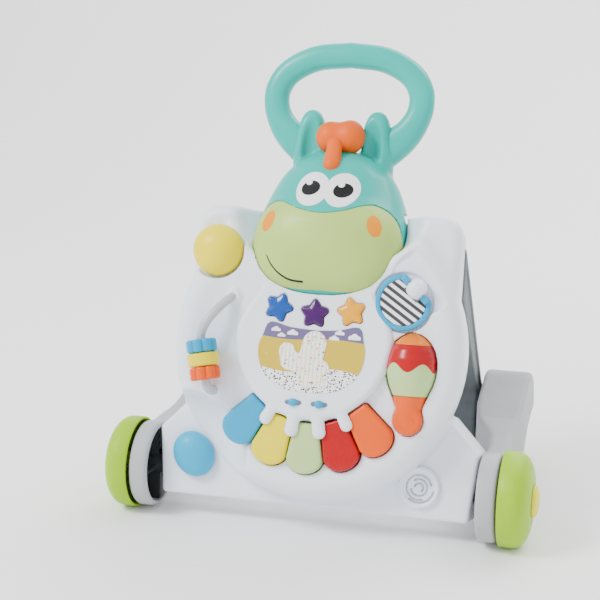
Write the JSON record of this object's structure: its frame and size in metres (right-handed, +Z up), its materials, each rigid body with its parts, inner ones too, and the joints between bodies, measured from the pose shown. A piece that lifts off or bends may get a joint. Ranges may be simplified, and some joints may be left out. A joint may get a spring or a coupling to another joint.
{
  "type": "baby walker",
  "caption": "Push-along baby walker with a leaning activity panel, piano keys, buttons, beads, a flap, a spinning maraca, a horse's head with a loop handle, and wheels.",
  "frame": {"origin": "middle of the whole walker's footprint, on the floor", "axes": "+Z up, the activity panel faces -Y, +X to the right of someone facing the panel; the child walks behind, on the +Y side"},
  "size_m": [0.446, 0.3086, 0.4703],
  "materials": {
    "white_plastic": "moulded gloss",
    "printed_label": "printed",
    "steel": "plain",
    "battery_wrap": "printed sleeve",
    "circuit": "solder mask",
    "membrane": "matte",
    "speaker": "matte",
    "rail_plastic": "moulded",
    "orange_plastic": "moulded gloss",
    "amber_plastic": "moulded gloss",
    "red_plastic": "moulded gloss",
    "teal_plastic": "moulded gloss",
    "muzzle_green": "moulded",
    "pale_green_plastic": "moulded",
    "cyan_plastic": "moulded gloss",
    "yellow_plastic": "moulded gloss",
    "gold_plastic": "moulded gloss",
    "blue_plastic": "moulded gloss",
    "purple_plastic": "moulded gloss",
    "flap_print": "striped",
    "mirror_film": "polished",
    "gray_plastic": "moulded satin",
    "dark_gray_plastic": "moulded satin",
    "hub_blue": "moulded",
    "lime_plastic": "moulded satin"
  },
  "bodies": {
    "frame": {"front_shell": "white_plastic", "rear_shell": "white_plastic", "bib_panel": "white_plastic", "picture_label": "printed_label", "battery_door": "white_plastic", "battery_screw": "steel", "battery_1": "battery_wrap", "battery_2": "battery_wrap", "circuit_board": "circuit", "key_membrane": "membrane", "speaker_driver": "speaker", "speaker_grille": "white_plastic", "bead_rail": "rail_plastic", "maraca_handle": "orange_plastic", "maraca_pin": "steel", "head_shell": "teal_plastic", "head_back": "teal_plastic", "muzzle": "muzzle_green", "forelock": "orange_plastic", "handle": "teal_plastic", "flap_knuckle": "white_plastic", "flap_pin": "steel", "mirror_disc": "mirror_film", "rear_crossbar": "dark_gray_plastic", "side_arm_right": "gray_plastic", "rear_leg_right": "dark_gray_plastic", "leg_hub_right": "hub_blue", "front_axle_right": "steel", "rear_axle_right": "steel", "side_arm_left": "gray_plastic", "rear_leg_left": "dark_gray_plastic", "leg_hub_left": "hub_blue", "front_axle_left": "steel", "rear_axle_left": "steel"},
    "front_wheel_right": {"front_wheel_right": "lime_plastic", "hub_cap_right": "yellow_plastic"},
    "rear_wheel_right": {"rear_wheel_right": "lime_plastic"},
    "front_wheel_left": {"front_wheel_left": "lime_plastic", "hub_cap_left": "yellow_plastic"},
    "rear_wheel_left": {"rear_wheel_left": "lime_plastic"},
    "key_cyan": {"key_cyan": "cyan_plastic"},
    "key_yellow": {"key_yellow": "yellow_plastic"},
    "key_pale_green": {"key_pale_green": "pale_green_plastic"},
    "key_red": {"key_red": "red_plastic"},
    "key_orange": {"key_orange": "orange_plastic"},
    "star_blue": {"star_blue": "blue_plastic"},
    "star_purple": {"star_purple": "purple_plastic"},
    "star_yellow": {"star_yellow": "gold_plastic"},
    "blue_button": {"blue_button": "cyan_plastic"},
    "switch_left": {"switch_left": "cyan_plastic"},
    "switch_right": {"switch_right": "cyan_plastic"},
    "spinner": {"spinner": "yellow_plastic"},
    "bead_orange": {"bead_orange": "orange_plastic"},
    "bead_yellow": {"bead_yellow": "yellow_plastic"},
    "bead_blue": {"bead_blue": "cyan_plastic"},
    "flap": {"flap_ring": "cyan_plastic", "flap_disc": "flap_print"},
    "maraca": {"maraca_bulb": "red_plastic", "maraca_cap": "amber_plastic"}
  },
  "joints": [
    {"name": "front_wheel_right_spin", "type": "hinge", "parent": "frame", "child": "front_wheel_right", "pos_m": [0.202, -0.09871, 0.0465], "axis": [1, 0, 0], "continuous": true},
    {"name": "rear_wheel_right_spin", "type": "hinge", "parent": "frame", "child": "rear_wheel_right", "pos_m": [0.162, 0.10429, 0.04], "axis": [1, 0, 0], "continuous": true},
    {"name": "front_wheel_left_spin", "type": "hinge", "parent": "frame", "child": "front_wheel_left", "pos_m": [-0.202, -0.09871, 0.0465], "axis": [1, 0, 0], "continuous": true},
    {"name": "rear_wheel_left_spin", "type": "hinge", "parent": "frame", "child": "rear_wheel_left", "pos_m": [-0.162, 0.10429, 0.04], "axis": [1, 0, 0], "continuous": true},
    {"name": "key_cyan_press", "type": "hinge", "parent": "frame", "child": "key_cyan", "pos_m": [-0.04907, -0.13218, 0.1315], "axis": [0.7837, -0.1608, -0.6], "range_deg": [0, 3.5], "stiffness_Nm_per_rad": 1, "springref_deg": -3.44},
    {"name": "key_yellow_press", "type": "hinge", "parent": "frame", "child": "key_yellow", "pos_m": [-0.02598, -0.13547, 0.11923], "axis": [0.9444, -0.0851, -0.3177], "range_deg": [0, 3.5], "stiffness_Nm_per_rad": 1, "springref_deg": -3.44},
    {"name": "key_pale_green_press", "type": "hinge", "parent": "frame", "child": "key_pale_green", "pos_m": [0, -0.13661, 0.11499], "axis": [1, 0, 0], "range_deg": [0, 3.5], "stiffness_Nm_per_rad": 1, "springref_deg": -3.44},
    {"name": "key_red_press", "type": "hinge", "parent": "frame", "child": "key_red", "pos_m": [0.02598, -0.13547, 0.11923], "axis": [0.9444, 0.0851, 0.3177], "range_deg": [0, 3.5], "stiffness_Nm_per_rad": 1, "springref_deg": -3.44},
    {"name": "key_orange_press", "type": "hinge", "parent": "frame", "child": "key_orange", "pos_m": [0.04907, -0.13218, 0.1315], "axis": [0.7837, 0.1608, 0.6], "range_deg": [0, 3.5], "stiffness_Nm_per_rad": 1, "springref_deg": -3.44},
    {"name": "star_blue_press", "type": "slide", "parent": "frame", "child": "star_blue", "axis": [0, 0.9336, -0.3584], "range_m": [0, 0.0025], "stiffness_N_per_m": 400, "springref_m": -0.002},
    {"name": "star_purple_press", "type": "slide", "parent": "frame", "child": "star_purple", "axis": [0, 0.9336, -0.3584], "range_m": [0, 0.0025], "stiffness_N_per_m": 400, "springref_m": -0.002},
    {"name": "star_yellow_press", "type": "slide", "parent": "frame", "child": "star_yellow", "axis": [0, 0.9336, -0.3584], "range_m": [0, 0.0025], "stiffness_N_per_m": 400, "springref_m": -0.002},
    {"name": "blue_button_press", "type": "slide", "parent": "frame", "child": "blue_button", "axis": [0, 0.9659, -0.2588], "range_m": [0, 0.0025], "stiffness_N_per_m": 500, "springref_m": -0.003},
    {"name": "switch_left_slide", "type": "slide", "parent": "frame", "child": "switch_left", "axis": [1, 0, 0], "range_m": [-0.004, 0.004]},
    {"name": "switch_right_slide", "type": "slide", "parent": "frame", "child": "switch_right", "axis": [1, 0, 0], "range_m": [-0.004, 0.004]},
    {"name": "spinner_spin", "type": "hinge", "parent": "frame", "child": "spinner", "pos_m": [-0.106, -0.07819, 0.27119], "axis": [0, -0.9659, 0.2588], "continuous": true},
    {"name": "bead_orange_slide", "type": "slide", "parent": "frame", "child": "bead_orange", "axis": [-0.2079, 0.2532, 0.9448], "range_m": [0, 0.004]},
    {"name": "bead_yellow_slide", "type": "slide", "parent": "bead_orange", "child": "bead_yellow", "axis": [-0.2079, 0.2532, 0.9448], "range_m": [0, 0.004]},
    {"name": "bead_blue_slide", "type": "slide", "parent": "bead_yellow", "child": "bead_blue", "axis": [-0.2079, 0.2532, 0.9448], "range_m": [0, 0.005]},
    {"name": "flap_hinge", "type": "hinge", "parent": "frame", "child": "flap", "pos_m": [0.09759, -0.10078, 0.24871], "axis": [-0.7314, 0.1765, 0.6588], "range_deg": [0, 175]},
    {"name": "maraca_spin", "type": "hinge", "parent": "frame", "child": "maraca", "pos_m": [0.098, -0.1109, 0.17229], "axis": [0, 0.2588, 0.9659], "continuous": true}
  ]
}
